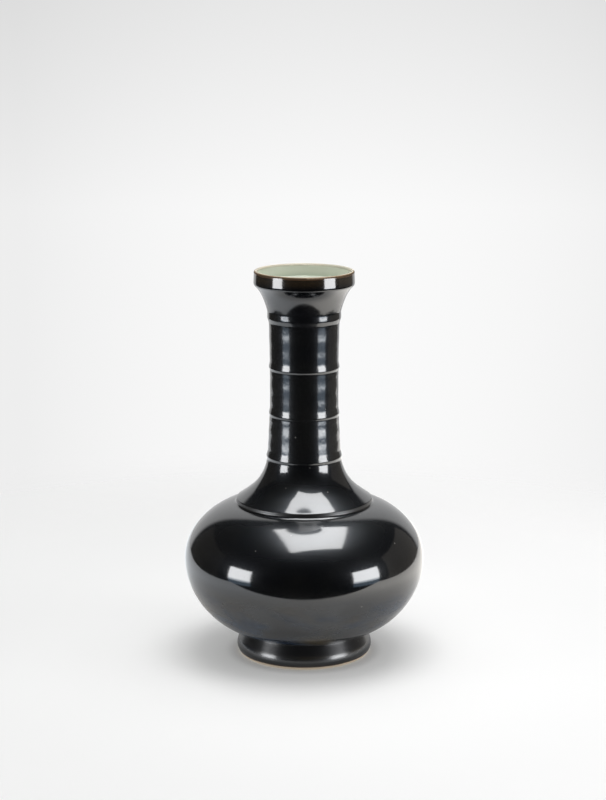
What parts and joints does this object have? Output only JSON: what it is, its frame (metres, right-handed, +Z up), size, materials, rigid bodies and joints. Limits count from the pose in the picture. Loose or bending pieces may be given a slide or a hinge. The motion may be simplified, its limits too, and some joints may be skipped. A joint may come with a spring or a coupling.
{
  "type": "glazed bottle vase",
  "caption": "Tall bottle vase with a squat round belly, a stepped collar, a long neck with thin raised strings and a flared dish mouth, black outside and pale inside.",
  "frame": {"origin": "centre of the foot ring's resting face, on the table", "axes": "+Z up along the vase's axis, from the foot to the mouth; the vase is round, so +X and +Y are any two level directions at right angles"},
  "size_m": [0.2472, 0.2472, 0.4],
  "materials": {
    "porcelain": "matt, unglazed",
    "slip": "matt, unglazed",
    "black_glaze": "mirror gloss",
    "pale_glaze": "gloss"
  },
  "bodies": {
    "root": {"foot_ring": "porcelain", "foot_seam": "slip", "lower_body": "porcelain", "waist_seam": "slip", "upper_body": "porcelain", "shoulder_seam": "slip", "neck_collar": "porcelain", "neck_seam": "slip", "neck_tube": "porcelain", "mouth_seam": "slip", "mouth_dish": "porcelain", "outer_glaze": "black_glaze", "inner_glaze": "pale_glaze", "base_glaze": "pale_glaze"}
  },
  "joints": []
}
